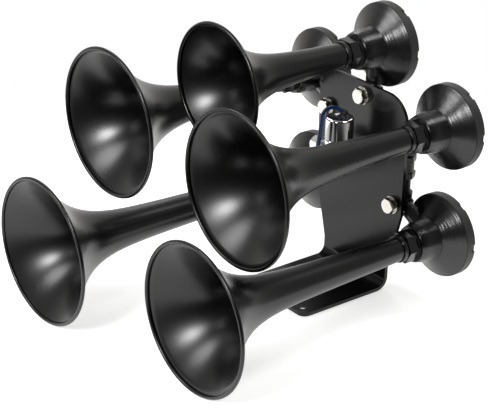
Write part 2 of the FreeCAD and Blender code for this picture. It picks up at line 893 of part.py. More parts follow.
def valve_body():
    block = doc.addObject("PartDesign::Body", "valve_body")
    corners = [
        ("-valve_half_wide", "-valve_half_deep"),
        ("valve_half_wide", "-valve_half_deep"),
        ("valve_half_wide", "valve_half_deep"),
        ("-valve_half_wide", "valve_half_deep"),
    ]
    solid = straight(block, "Pad", outline(block, "Plan", "XY_Plane", corners), "valve_below + valve_above")
    doc.recompute()
    wide = number("valve_half_wide")
    deep = number("valve_half_deep")
    eased = block.newObject("PartDesign::Chamfer", "Chamfer")
    places = [(x, y, None) for x in (-wide, wide) for y in (-deep, deep)]
    eased.Base = (solid, edges_at(solid.Shape, *places))
    bind(eased, Size="valve_edge")
    block.Tip = eased
    place(block, z="-valve_below")
    cuts = [
        joined(
            [rod("well_radius", "valve_above - well_floor + overrun", z="well_floor")],
            [rod("seat_radius", "seat_high - well_floor", z="well_floor")],
        ),
        rod("seat_bore", "seat_high + overrun"),
        rod("seat_bore", "valve_half_deep", aim="back"),
        rod("pipe_radius + fit", "socket_deep + overrun", y="valve_half_deep - socket_deep", aim="back"),
        rod(
            "inlet_bore",
            "inlet_boss_end - well_radius",
            x="-(well_radius - overrun)",
            z="inlet_rise",
            aim="left",
        ),
        rod(
            "inlet_radius + fit",
            "inlet_deep + overrun",
            x="-(inlet_boss_end - inlet_deep)",
            z="inlet_rise",
            aim="left",
        ),
    ]
    boss_long = "inlet_boss_end - valve_half_wide + overrun"
    boss = rod("inlet_boss_radius", boss_long, x="-(valve_half_wide - overrun)", z="inlet_rise", aim="left")
    return keep("valve_body", seat(joined([block, boss], cuts), "0", "-valve_out", BAR))


def outlet_nipple():
    start = "-(valve_out - valve_half_deep + socket_deep - gap)"
    end = "socket_deep - gap"
    keep("outlet_nipple", seat(pipe(f"({end}) - ({start})", aim="back"), "0", start, BAR))


def inlet_fitting():
    """The hexagon that the air line screws into."""
    out = "inlet_neck_long + inlet_long"
    solids = [
        hexagon("inlet_flat", "inlet_long", x="-inlet_neck_long", aim="left", crown=True),
        rod("inlet_neck_radius", "inlet_neck_long", aim="left"),
        rod("inlet_radius", "inlet_deep - gap", aim="right"),
    ]
    cuts = [
        rod("inlet_bore", f"inlet_deep + {out} + 2 * overrun", x="inlet_deep + overrun", aim="left"),
        rod("inlet_thread", "inlet_thread_long + overrun", x=f"-({out} - inlet_thread_long)", aim="left"),
    ]
    fitting = joined(solids, cuts)
    seat(fitting, "-inlet_boss_end", "-valve_out", f"{BAR} + inlet_rise")
    return keep("inlet_fitting", fitting)


def valve_inside():
    bonnet = turned(
        "bonnet",
        [
            ("core_inner", "0"),
            ("bonnet_radius", "0"),
            ("bonnet_radius", "bonnet_thick"),
            ("core_outer", "bonnet_thick"),
            ("core_outer", "core_long"),
            ("core_inner", "core_long"),
        ],
    )
    in_valve(bonnet, VALVE_TOP)
    stop_long = f"{VALVE_TOP} + core_long - ({STOP_LOW})"
    stop = turned(
        "fixed_core",
        [
            ("0", "0"),
            ("core_inner", "0"),
            ("core_inner", stop_long),
            ("0", stop_long),
        ],
    )
    in_valve(stop, STOP_LOW)
    disc = turned(
        "valve_disc",
        [
            ("0", "0"),
            ("disc_radius", "0"),
            ("disc_radius", "disc_thick"),
            ("0", "disc_thick"),
        ],
    )
    in_valve(disc, f"{PLUNGER_LOW} - disc_thick")
    plunger = turned(
        "plunger",
        [
            ("0", "0"),
            ("plunger_radius", "0"),
            ("plunger_radius", "plunger_long"),
            ("plunger_bore", "plunger_long"),
            ("plunger_bore", "plunger_long - plunger_bore_deep"),
            ("0", "plunger_long - plunger_bore_deep"),
        ],
    )
    in_valve(plunger, PLUNGER_LOW)


def coil():
    spool_high = "core_long - bonnet_thick - gap"
    spool = turned(
        "coil_spool",
        [
            ("spool_inner", "0"),
            ("spool_flange", "0"),
            ("spool_flange", "spool_wall"),
            ("coil_inner", "spool_wall"),
            ("coil_inner", f"{spool_high} - spool_wall"),
            ("spool_flange", f"{spool_high} - spool_wall"),
            ("spool_flange", spool_high),
            ("spool_inner", spool_high),
        ],
    )
    in_valve(spool, f"{VALVE_TOP} + bonnet_thick")
    winding = turned(
        "coil_winding",
        [
            ("coil_inner", "spool_wall"),
            ("coil_outer", "spool_wall"),
            ("coil_outer", f"{spool_high} - spool_wall"),
            ("coil_inner", f"{spool_high} - spool_wall"),
        ],
    )
    in_valve(winding, f"{VALVE_TOP} + bonnet_thick")
    can = doc.addObject("PartDesign::Body", "coil_can")
    section = [
        ("0", "can_high - can_dish_deep"),
        ("can_dish_radius", "can_high - can_dish_deep"),
        ("can_dish_radius + can_dish_deep", "can_high"),
        ("can_radius - can_edge", "can_high"),
        ("can_radius", "can_high - can_edge"),
        ("can_radius", "can_lip_high"),
        ("can_lip_radius", "can_lip_high"),
        ("can_lip_radius", "0"),
        ("can_radius - can_wall", "0"),
        ("can_radius - can_wall", "can_high - can_edge - can_wall"),
        ("0", "can_high - can_edge - can_wall"),
    ]
    around(can, "Revolution", outline(can, "Section", "XY_Plane", section))
    in_valve(can, f"{VALVE_TOP} + bonnet_thick")
    hole = rod("lead_radius + gap", "can_edge + can_wall + 2 * overrun")
    seat(hole, "-boot_left", "-valve_out + boot_back", f"{CAN_TOP} - can_edge - can_wall - overrun")
    keep("coil_can", joined([can], [hole]))


def half_turns(radius, low, rise, turns):
    """Arcs of half a turn each, every one tangent to the next, that climb by an even rise."""
    arcs = []
    slope = math.hypot(radius, rise / 4)
    for half in range(2 * turns):
        side = 1 if half % 2 == 0 else -1
        start = low + half * rise / 2
        arcs.append(
            Part.Arc(
                Vector(side * radius, 0, start),
                Vector(0, side * slope, start + rise / 4),
                Vector(-side * radius, 0, start + rise / 2),
            ).toShape()
        )
    return arcs


def tube(path, radius):
    """Sweeps a round section along a path of edges."""
    wire = Part.Wire(path)
    first = wire.Edges[0]
    begin = first.valueAt(first.FirstParameter)
    heading = first.tangentAt(first.FirstParameter)
    section = Part.Wire(Part.Circle(begin, heading, radius).toShape())
    shell = Part.BRepOffsetAPI.MakePipeShell(wire)
    shell.add(section)
    shell.build()
    shell.makeSolid()
    return shell.shape()


SPRING_TURNS = 5


def return_spring():
    low = number(SPRING_LOW)
    high = number(STOP_LOW)
    wire = number("spring_wire")
    room = number("fit")
    travel = high - low - 2 * (wire + room)
    path = half_turns(number("spring_radius"), wire + room, travel / SPRING_TURNS, SPRING_TURNS)
    spring = doc.addObject("Part::Feature", "return_spring")
    spring.Shape = tube(path, wire)
    seat(spring, "0", "-valve_out", SPRING_LOW)
    keep("return_spring", spring)


# Lead of the coil: out of the boot, over the can's edge, round the plate and down to the ground
LEAD_HEADING = Vector(-0.44, -0.62, 0.65)
LEAD_ROUTE = [
    (-6.24, -27.03, 49.96),
    (-8.44, -30.13, 53.21),
    (-13.2, -38.2, 54.0),
    (-16.2, -43.9, 48.2),
    (-16.6, -44.9, 34.0),
    (-17.9, -47.3, 10.0),
    (-21.0, -48.5, -14.0),
    (-38.0, -40.0, -29.0),
    (-62.0, -24.0, -29.0),
    (-80.0, -2.0, -19.0),
    (-84.0, 20.0, -13.0),
    (-78.0, 38.0, -17.0),
    (-62.0, 45.0, -38.0),
]
# Its lower end behind the plate, with heights from the ground
LEAD_TAIL = [
    (-52.0, 45.0, 72.0),
    (-46.0, 42.0, 38.0),
    (-40.0, 38.0, 12.0),
    (-26.0, 29.0, 2.5),
    (-10.0, 15.0, 2.5),
    (12.0, 15.0, 2.5),
]
BEND_SHARE = 0.45


def rounded(points):
    """Straight runs through the points, joined by arcs as large as the runs allow."""
    edges = []
    start = points[0]
    for before, corner, after in zip(points, points[1:], points[2:]):
        first = corner - before
        second = after - corner
        half = first.getAngle(second) / 2
        reach = BEND_SHARE * min(first.Length, second.Length)
        radius = reach / math.tan(half)
        first.normalize()
        second.normalize()
        leave = corner - first * reach
        arrive = corner + second * reach
        inwards = second - first
        inwards.normalize()
        middle = corner + inwards * (radius / math.cos(half) - radius)
        edges.append(Part.LineSegment(start, leave).toShape())
        edges.append(Part.Arc(leave, middle, arrive).toShape())
        start = arrive
        print(f"lead bend of {radius:.1f} mm")
    edges.append(Part.LineSegment(start, points[-1]).toShape())
    return edges


def coil_lead():
    raised = Vector(0, 0, number(BAR))
    route = [Vector(*point) + raised for point in LEAD_ROUTE]
    path = rounded(route + [Vector(*point) for point in LEAD_TAIL])
    radius = number("lead_radius")
    lead = doc.addObject("Part::Feature", "coil_lead")
    lead.Shape = tube(path, radius)
    long = sum(edge.Length for edge in path)
    share = lead.Shape.Volume / (math.pi * radius**2 * long)
    print(f"lead is {long:.0f} mm long, its volume is {share:.4f} of section times length")
    keep("coil_lead", seat(lead))
    across, deep, high = LEAD_TAIL[-1]
    tips = []
    for side in (-1, 1):
        tip = doc.addObject("Part::Cylinder", "Core")
        bind(tip, Radius="core_radius", Height="core_bare")
        aside = side * number("core_apart") / 2
        tip.Placement = Placement(Vector(across, deep + aside, high), AIM["right"])
        tips.append(tip)
    group("lead_cores", tips)


def lead_boot():
    """A rubber boot on the can's top that leans the way the lead leaves."""
    lean = Rotation(Vector(0, 0, 1), LEAD_HEADING)
    dome = doc.addObject("Part::Sphere", "Dome")
    bind(dome, Radius="boot_radius")
    dome.Angle1 = 0
    boot = joined(
        [dome, rod("boot_tip_radius", "boot_long", rotation=lean)],
        [
            rod("lead_radius", "boot_long", rotation=lean),
            rod("boot_radius + overrun", "boot_radius + overrun", aim="down"),
        ],
    )
    seat(boot, "-boot_left", "-valve_out + boot_back", CAN_TOP)
    keep("lead_boot", boot)


valve_body()
outlet_nipple()
inlet_fitting()
valve_inside()
coil()
return_spring()
lead_boot()
coil_lead()

# Check every piece and write it
doc.recompute()
for obj in doc.Objects:
    if "Invalid" in obj.State or "Error" in obj.State:
        raise RuntimeError(f"{obj.Label} could not be made")
for label, obj in nodes.items():
    if obj.Shape.isNull() or not obj.Shape.isValid():
        raise RuntimeError(f"{label} has no valid shape")
    obj.Shape.exportStep(f"parts/{label}.step")
print(f"{len(nodes)} pieces written")
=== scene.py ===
# %% [markdown]
# # A train air horn, dressed for its portrait
# The part has five black trumpets. Each one is screwed into a round power chamber with a thin
# steel disc inside, and all of them hang on one bent plate. A chrome solenoid valve in front of
# the plate lets the air in. The solids come from the CAD model, and this lesson gives them
# their finish, and makes again the pieces that need finer surfaces than solids have.

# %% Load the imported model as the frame
import json
import math

import bpy
from mathutils import Matrix, Vector


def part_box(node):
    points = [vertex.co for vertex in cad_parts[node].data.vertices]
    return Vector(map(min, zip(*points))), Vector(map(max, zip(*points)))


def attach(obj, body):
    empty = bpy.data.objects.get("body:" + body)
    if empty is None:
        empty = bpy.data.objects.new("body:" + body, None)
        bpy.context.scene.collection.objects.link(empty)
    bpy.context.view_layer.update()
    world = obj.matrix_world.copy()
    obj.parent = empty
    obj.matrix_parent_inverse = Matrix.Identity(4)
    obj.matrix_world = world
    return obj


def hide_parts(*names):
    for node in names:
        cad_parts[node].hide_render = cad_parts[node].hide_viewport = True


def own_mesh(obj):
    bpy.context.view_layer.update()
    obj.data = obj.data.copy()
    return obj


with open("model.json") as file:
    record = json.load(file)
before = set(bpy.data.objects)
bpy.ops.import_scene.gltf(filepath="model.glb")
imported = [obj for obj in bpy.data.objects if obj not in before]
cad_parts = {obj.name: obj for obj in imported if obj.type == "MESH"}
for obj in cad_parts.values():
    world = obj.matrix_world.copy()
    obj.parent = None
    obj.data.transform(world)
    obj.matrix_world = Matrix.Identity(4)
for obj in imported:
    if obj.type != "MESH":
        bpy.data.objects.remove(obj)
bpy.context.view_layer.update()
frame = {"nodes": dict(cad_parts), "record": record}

# %% [markdown]
# ## Units and places
# The frame is in metres, with its origin on the ground in the middle of the foot's underside.
# A maker thinks of such a horn in millimetres, so lengths are written in millimetres here and
# multiplied by MM. The plate's back face sets the places of all else: the valve stands in front
# of it, and the chambers begin behind it.

# %% Units and places
MM = 0.001
BACK = 65.0
BACK_TO_CHAMBER = 19.0
BACK_TO_VALVE = 34.5
CHAMBER_FRONT = BACK + BACK_TO_CHAMBER
VALVE_LINE = BACK - BACK_TO_VALVE
ROOT = "horn_set"

HORNS = {
    "top": (0.0, 257.0),
    "upper_left": (-101.0, 199.0),
    "upper_right": (101.0, 199.0),
    "lower_left": (-101.0, 78.0),
    "lower_right": (101.0, 78.0),
}
HORN_LENGTH = {
    "top": 216.0,
    "upper_left": 275.0,
    "upper_right": 269.0,
    "lower_left": 356.0,
    "lower_right": 316.0,
}
print("trumpets", list(HORNS))

# %% [markdown]
# ## Camera
# The photograph was taken from the front right and a little above, from far away with a long
# lens, because the five bell mouths look almost alike in size. A 128 mm lens at 1.8 m gives
# the same. The camera is turned by its direction, and then rolled by the small tilt of the photo.

# %% Camera
CAMERA_PLACE = Vector((1.2423, -1.0763, 0.8642))
CAMERA_BACK = Vector((0.7101, -0.5621, 0.4240))
CAMERA_ROLL = math.radians(1.44)
CAMERA_LENS = 127.8
SENSOR_WIDTH = 36.0

camera_data = bpy.data.cameras.new("portrait_lens")
camera_data.lens = CAMERA_LENS
camera_data.sensor_width = SENSOR_WIDTH
camera_data.clip_start = 0.05
camera = bpy.data.objects.new("portrait_camera", camera_data)
bpy.context.scene.collection.objects.link(camera)
facing = (-CAMERA_BACK).to_track_quat("-Z", "Y").to_matrix() @ Matrix.Rotation(CAMERA_ROLL, 3, "Z")
camera.matrix_world = Matrix.Translation(CAMERA_PLACE) @ facing.to_4x4()
bpy.context.scene.camera = camera
print("camera looks along", [round(x, 3) for x in -CAMERA_BACK])

# %% [markdown]
# ## The coil's lead
# The valve's coil is fed by one thin blue lead. It comes out of a small boot on top of the can,
# bends over the can's edge and drops down its front. Behind the trumpets it goes round the
# plate's left edge, and runs down behind the plate to the floor, where it ends in two bare cores.
# A cord is one smooth line, so it is a NURBS curve: the points only pull the line towards them,
# which gives the easy bends of a real lead. Its thickness is a bevel that each point's radius scales.

# %% The coil's lead
LEAD_RADIUS = 2.2
LEAD_ROUTE = [
    (-6.24, -27.03, 191.96),
    (-8.44, -30.13, 195.21),
    (-13.2, -38.2, 196.0),
    (-16.2, -43.9, 190.2),
    (-16.6, -44.9, 176.0),
    (-17.9, -47.3, 152.0),
    (-21.0, -48.5, 128.0),
    (-38.0, -40.0, 113.0),
    (-62.0, -24.0, 113.0),
    (-80.0, -2.0, 123.0),
    (-84.0, 20.0, 129.0),
    (-78.0, 38.0, 125.0),
    (-62.0, 45.0, 104.0),
    (-52.0, 45.0, 72.0),
    (-46.0, 42.0, 38.0),
    (-40.0, 38.0, 12.0),
    (-26.0, 29.0, 2.5),
    (-10.0, 15.0, 2.5),
    (12.0, 15.0, 2.5),
]
lead_route = [Vector((x, y + BACK, z)) * MM for x, y, z in LEAD_ROUTE]

lead_curve = bpy.data.curves.new("blue_lead", "CURVE")
lead_curve.dimensions = "3D"
lead_line = lead_curve.splines.new("NURBS")
lead_line.points.add(len(lead_route) - 1)
for point, spot in zip(lead_line.points, lead_route):
    point.co = (*spot, 1.0)
    point.radius = LEAD_RADIUS * MM
lead_line.order_u = 3
lead_line.use_endpoint_u = True
lead_line.resolution_u = 8
lead_curve.bevel_depth = 1.0
lead_curve.bevel_resolution = 7
lead_curve.use_fill_caps = True
blue_lead = bpy.data.objects.new("blue_lead", lead_curve)
bpy.context.scene.collection.objects.link(blue_lead)
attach(blue_lead, ROOT)
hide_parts("coil_lead")
print("lead with", len(lead_route), "points")

# %% [markdown]
# ## Light and floor
# The horn was photographed in a white studio. Black paint shows almost nothing but what it
# mirrors, so the lamps matter more than the paint. The bells mirror two round soft lamps high in
# front, a bright one far away and a weaker one nearer: each gives a bright spot inside each bell.
# Two more lamps, at the left and behind, draw streaks along the tubes and the chambers. The room
# is pale beyond the horn and fades to nearly black behind the camera. The ground is a white
# floor, which the paint mirrors from below, and what the camera sees behind the horn is white.

# %% Empty hands
def let_go():
    """Leaves edit mode and selects nothing, so the next operator meets only its own piece."""
    if bpy.context.mode != "OBJECT":
        bpy.ops.object.mode_set(mode="OBJECT")
    bpy.ops.object.select_all(action="DESELECT")


# %% Lamps
def soft_lamp(name, place, aim, wide, high, watts):
    """A round or oval soft lamp that looks from its place to its aim, in metres."""
    data = bpy.data.lights.new(name, "AREA")
    data.shape = "ELLIPSE"
    data.size = wide
    data.size_y = high
    data.energy = watts
    lamp = bpy.data.objects.new(name, data)
    bpy.context.scene.collection.objects.link(lamp)
    way = Vector(aim) - Vector(place)
    lamp.matrix_world = Matrix.Translation(Vector(place)) @ way.to_track_quat("-Z", "Y").to_matrix().to_4x4()


MIDDLE = (0.0, -0.05, 0.15)
soft_lamp("main_lamp", (0.50, -1.65, 1.12), MIDDLE, 0.50, 0.50, 27.0)
soft_lamp("second_lamp", (-0.33, -0.86, 0.80), MIDDLE, 0.46, 0.42, 4.4)
soft_lamp("left_lamp", (-1.25, 0.58, 1.16), MIDDLE, 0.5, 0.5, 4.0)
soft_lamp("back_lamp", (0.39, 0.46, 1.5), MIDDLE, 0.5, 0.5, 7.0)

# %% White surroundings
DIM_SIDE = (0.71, -0.56, 0.42)
ROOM_SHARES = (0.0, 0.25, 0.5, 0.68, 0.92, 1.0)
ROOM_LIGHT = (0.95, 0.75, 0.38, 0.33, 0.02, 0.015)
ROOM_TINT = (1.0, 0.985, 0.96)
world = bpy.data.worlds.new("white_studio")
bpy.context.scene.world = world
world.use_nodes = True
net = world.node_tree
net.nodes.clear()
way = net.nodes.new("ShaderNodeTexCoord")
side = net.nodes.new("ShaderNodeVectorMath")
side.operation = "DOT_PRODUCT"
side.inputs[1].default_value = DIM_SIDE
net.links.new(way.outputs["Generated"], side.inputs[0])
share = net.nodes.new("ShaderNodeMapRange")
share.inputs["From Min"].default_value = -1.0
share.inputs["From Max"].default_value = 1.0
net.links.new(side.outputs["Value"], share.inputs["Value"])
room = net.nodes.new("ShaderNodeValToRGB")
room.color_ramp.interpolation = "EASE"
stops = room.color_ramp.elements
for spot, strength in zip(ROOM_SHARES, ROOM_LIGHT):
    between_ends = 0.0 < spot < 1.0
    stop = stops.new(spot) if between_ends else stops[-1 if spot else 0]
    stop.color = (*[strength * tint for tint in ROOM_TINT], 1.0)
net.links.new(share.outputs["Result"], room.inputs["Fac"])
dim = net.nodes.new("ShaderNodeBackground")
net.links.new(room.outputs["Color"], dim.inputs["Color"])
white = net.nodes.new("ShaderNodeBackground")
white.inputs["Color"].default_value = (1.0, 1.0, 1.0, 1.0)
white.inputs["Strength"].default_value = 1.0
seen = net.nodes.new("ShaderNodeLightPath")
either = net.nodes.new("ShaderNodeMixShader")
out = net.nodes.new("ShaderNodeOutputWorld")
net.links.new(seen.outputs["Is Camera Ray"], either.inputs["Fac"])
net.links.new(dim.outputs[0], either.inputs[1])
net.links.new(white.outputs[0], either.inputs[2])
net.links.new(either.outputs[0], out.inputs["Surface"])
print("world", world.name)

# %% Floor
FLOOR_RADIUS = 0.56
FLOOR_MIDDLE = (-0.05, 0.02, -0.0002)
PAPER_WHITE = (0.86, 0.86, 0.85, 1.0)
PAPER_GLOW = 0.62
let_go()
bpy.ops.mesh.primitive_circle_add(vertices=96, radius=FLOOR_RADIUS, fill_type="NGON", location=FLOOR_MIDDLE)
floor = bpy.context.object
floor.name = "floor"
bpy.ops.object.transform_apply(location=True, rotation=True, scale=True)
floor_finish = bpy.data.materials.new("white_floor")
floor_finish.use_nodes = True
net = floor_finish.node_tree
net.nodes.clear()
seen = net.nodes.new("ShaderNodeLightPath")
looked = net.nodes.new("ShaderNodeMath")
looked.operation = "MAXIMUM"
net.links.new(seen.outputs["Is Camera Ray"], looked.inputs[0])
net.links.new(seen.outputs["Is Glossy Ray"], looked.inputs[1])
paper = net.nodes.new("ShaderNodeBsdfDiffuse")
paper.inputs["Color"].default_value = PAPER_WHITE
glow = net.nodes.new("ShaderNodeEmission")
glow.inputs["Color"].default_value = (1.0, 1.0, 1.0, 1.0)
glow.inputs["Strength"].default_value = PAPER_GLOW
dark = net.nodes.new("ShaderNodeEmission")
dark.inputs["Strength"].default_value = 0.0
choice = net.nodes.new("ShaderNodeMixShader")
total = net.nodes.new("ShaderNodeAddShader")
out = net.nodes.new("ShaderNodeOutputMaterial")
net.links.new(looked.outputs[0], choice.inputs["Fac"])
net.links.new(dark.outputs[0], choice.inputs[1])
net.links.new(glow.outputs[0], choice.inputs[2])
net.links.new(paper.outputs[0], total.inputs[0])
net.links.new(choice.outputs[0], total.inputs[1])
net.links.new(total.outputs[0], out.inputs["Surface"])
floor.data.materials.append(floor_finish)
bpy.context.scene.view_settings.view_transform = "Standard"
print("floor of", floor.dimensions.x, "m")

# %% [markdown]
# ## Finishes
# Every finish is one Principled shader with its own fine surface. Paint is never quite smooth:
# sprayed paint has a soft orange peel a millimetre or two across, powder coat a finer grain,
# and a casting shows its pores through the paint. These are noises on the object's own
# coordinates, so they stay in place on the piece, and a bump node turns them into relief.
# Pieces from a lathe also keep rings of fine marks, a noise that changes only along their axis,
# and it draws each lamp out into a streak across the rings.

# %% A painter's helper
CLOUD_SCALE = 14.0
CLOUD_SPAN = (0.3, 0.7)
MARK_SCALE = 1400.0
RELIEF_DEPTH = 0.001
TINT_SHARES = (0.85, 1.15)


def finish(name, color, metallic, roughness, grain=900.0, relief=0.02, spread=0.25, marks=0.0, **sockets):
    """A material with fine relief, a slowly wandering roughness, and marks of turning round Y."""
    made = bpy.data.materials.new(name)
    made.use_nodes = True
    net = made.node_tree
    shader = net.nodes["Principled BSDF"]
    shader.inputs["Metallic"].default_value = metallic
    for socket, value in sockets.items():
        shader.inputs[socket.replace("_", " ")].default_value = value
    place = net.nodes.new("ShaderNodeTexCoord")

    slow = net.nodes.new("ShaderNodeTexNoise")
    slow.inputs["Scale"].default_value = CLOUD_SCALE
    slow.inputs["Detail"].default_value = 3.0
    net.links.new(place.outputs["Object"], slow.inputs["Vector"])

    sheen = net.nodes.new("ShaderNodeMapRange")
    sheen.inputs["From Min"].default_value = CLOUD_SPAN[0]
    sheen.inputs["From Max"].default_value = CLOUD_SPAN[1]
    sheen.inputs["To Min"].default_value = roughness * (1.0 - spread)
    sheen.inputs["To Max"].default_value = roughness * (1.0 + spread)
    net.links.new(slow.outputs["Fac"], sheen.inputs["Value"])
    net.links.new(sheen.outputs["Result"], shader.inputs["Roughness"])

    tint = net.nodes.new("ShaderNodeMix")
    tint.data_type = "RGBA"
    for side, share in zip("AB", TINT_SHARES):
        tint.inputs[side].default_value = (*[min(1.0, part * share) for part in color], 1.0)
    net.links.new(slow.outputs["Fac"], tint.inputs["Factor"])
    net.links.new(tint.outputs["Result"], shader.inputs["Base Color"])

    fine = net.nodes.new("ShaderNodeTexNoise")
    fine.inputs["Scale"].default_value = grain
    fine.inputs["Detail"].default_value = 2.0
    net.links.new(place.outputs["Object"], fine.inputs["Vector"])
    bump = net.nodes.new("ShaderNodeBump")
    bump.inputs["Strength"].default_value = relief
    bump.inputs["Distance"].default_value = RELIEF_DEPTH
    net.links.new(fine.outputs["Fac"], bump.inputs["Height"])
    net.links.new(bump.outputs["Normal"], shader.inputs["Normal"])
    if marks:
        along = net.nodes.new("ShaderNodeMapping")
        along.inputs["Scale"].default_value = (0.0, 1.0, 0.0)
        net.links.new(place.outputs["Object"], along.inputs["Vector"])
        lathe = net.nodes.new("ShaderNodeTexNoise")
        lathe.inputs["Scale"].default_value = MARK_SCALE
        lathe.inputs["Detail"].default_value = 3.0
        net.links.new(along.outputs["Vector"], lathe.inputs["Vector"])
        groove = net.nodes.new("ShaderNodeBump")
        groove.inputs["Strength"].default_value = marks
        groove.inputs["Distance"].default_value = RELIEF_DEPTH
        net.links.new(lathe.outputs["Fac"], groove.inputs["Height"])
        net.links.new(groove.outputs["Normal"], bump.inputs["Normal"])
    return made


# %% The finishes of this horn
FINISHES = {
    "horn_black": finish("satin_horn_paint", (0.0015, 0.0015, 0.0015), 0.0, 0.285,
                         grain=900, relief=0.015, spread=0.08, marks=0.05),
    "chamber_black": finish("glossy_chamber_paint", (0.003, 0.003, 0.0031), 0.0, 0.235,
                            grain=700, relief=0.02, spread=0.1, marks=0.34, Specular_IOR_Level=0.68),
    "cap_black": finish("textured_cap_paint", (0.02, 0.02, 0.02), 0.0, 0.50, grain=1500, relief=0.35),
    "plate_black": finish("powder_coated_plate", (0.005, 0.005, 0.005), 0.0, 0.20,
                          grain=1600, relief=0.04, spread=0.1, Specular_IOR_Level=0.37),
    "nut_black": finish("black_nut_finish", (0.006, 0.006, 0.0062), 0.0, 0.20, grain=900, relief=0.04),
    "fitting_black": finish("black_cast_fitting", (0.010, 0.010, 0.0105), 0.0, 0.36, grain=1100, relief=0.22),
    "pipe_black": finish("black_pipe_coat", (0.010, 0.010, 0.010), 0.0, 0.32, grain=1300, relief=0.12),
    "zinc": finish("bright_zinc_plate", (0.80, 0.77, 0.71), 1.0, 0.22, grain=1200, relief=0.10),
    "chrome": finish("polished_chrome", (0.90, 0.90, 0.91), 1.0, 0.04, grain=110, relief=0.06),
    "valve_metal": finish("machined_valve_metal", (0.55, 0.55, 0.56), 1.0, 0.33, grain=1800, relief=0.10),
    "spring_steel": finish("drawn_spring_steel", (0.60, 0.60, 0.62), 1.0, 0.25, grain=2400, relief=0.08),
    "diaphragm_steel": finish("rolled_disc_steel", (0.62, 0.62, 0.63), 1.0, 0.22, grain=2400, relief=0.05),
    "seal_rubber": finish("black_seal_rubber", (0.02, 0.02, 0.02), 0.0, 0.60, grain=1800, relief=0.20),
    "spool_plastic": finish("moulded_spool_plastic", (0.04, 0.04, 0.04), 0.0, 0.45, grain=1400, relief=0.10),
    "winding_copper": finish("enamelled_copper", (0.60, 0.27, 0.12), 1.0, 0.28, grain=2600, relief=0.2),
    "lead_blue": finish("glossy_blue_jacket", (0.008, 0.055, 0.20), 0.0, 0.22, grain=600, relief=0.04),
    "core_copper": finish("tinned_core_copper", (0.72, 0.38, 0.20), 1.0, 0.25, grain=2600, relief=0.15),
}
for part in frame["record"]["subparts"]:
    node = frame["nodes"][part["node"]]
    node.data.materials.clear()
    node.data.materials.append(FINISHES[part["material_slot"]])
blue_lead.data.materials.append(FINISHES["lead_blue"])
print(len(FINISHES), "finishes on", len(frame["nodes"]), "nodes")

# %% [markdown]
# ## Turned pieces, ring by ring
# A trumpet, a can or a full coil is a section turned about an axis. On a lathe the tool follows
# the section; here a circle does. It is added at the first point of the section, and is then
# extruded and scaled from point to point. Where the last ring meets the first one, their doubled
# points are merged, and a hole left at the axis is filled. So the wall is closed and really thick.

# %% Ring by ring
AXES = {"Y": Vector((0, 1, 0)), "Z": Vector((0, 0, 1))}
LAY = {"Y": (math.pi / 2, 0.0, 0.0), "Z": (0.0, 0.0, 0.0)}
DOUBLES = 1e-6


def turned(name, rings, centre, axis, sides=128, sharp=35.0):
    """A closed turned piece. Each ring is its distance along the axis and its radius, in mm."""
    let_go()
    way = AXES[axis]
    start = Vector(centre) * MM
    along, radius = rings[0]
    spot = start + way * along * MM
    bpy.ops.mesh.primitive_circle_add(vertices=sides, radius=radius * MM, location=spot, rotation=LAY[axis])
    piece = bpy.context.object
    piece.name = name
    bpy.ops.object.mode_set(mode="EDIT")
    bpy.ops.mesh.select_all(action="SELECT")
    for (was, before), (now, after) in zip(rings, rings[1:]):
        step = way * (now - was) * MM
        bpy.ops.mesh.extrude_region_move(TRANSFORM_OT_translate={"value": step, "orient_type": "GLOBAL"})
        share = after / before
        scale = tuple(1.0 if way[k] else share for k in range(3))
        bpy.ops.transform.resize(value=scale, orient_type="GLOBAL", center_override=start + way * now * MM)
    bpy.ops.mesh.select_all(action="SELECT")
    bpy.ops.mesh.remove_doubles(threshold=DOUBLES)
    bpy.ops.mesh.fill_holes(sides=0)
    bpy.ops.mesh.normals_make_consistent(inside=False)
    bpy.ops.object.mode_set(mode="OBJECT")
    bpy.ops.object.transform_apply(location=True, rotation=True, scale=True)
    bpy.ops.object.shade_smooth_by_angle(angle=math.radians(sharp))
    return piece


def hang(piece, body, slot, *nodes):
    """The piece moves with its body, takes its finish, and stands for its CAD nodes."""
    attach(piece, body)
    if nodes:
        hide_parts(*nodes)
    piece.data.materials.clear()
    piece.data.materials.append(FINISHES[slot])


# %% [markdown]
# ## Trumpets
# A trumpet is spun from one sheet: a slim cone that opens faster and faster towards the mouth,
# where the sheet is rolled back into a round lip. The inside follows a straight taper plus a
# swelling that dies away from the mouth, the same formula that the solids have. Just inside the
# rim it is drawn in a little more, into a shallow hollow, which bends the reflections there as
# in the photograph. The outside runs one wall thickness away, measured square to the slope.

# %% The trumpet's section
WALL = 1.6
BEAD = 2.0
COLLAR_GAP = 58.0
COLLAR_LONG = 5.0
COLLAR_RADIUS = 14.2
COLLAR_EDGE = 0.5
TAIL_LONG = 33.5
TAIL_RADIUS = 9.5
TAIL_EDGE = 0.6
CONE_END = 11.0
BORE_AT_COLLAR = 7.6
BORE_AT_TAIL = 5.5
HOLLOW_DEEP = 2.2
HOLLOW_AT = 11.5
REACH_SHARE = 0.48
FADE_POWER = 1.3
CROWD_POWER = 1.7
LIP_CLEAR_SHARE = 1.15
LIP_FIRST = math.radians(-40)
LIP_LAST = math.radians(-305)
LIP_STEPS = 14


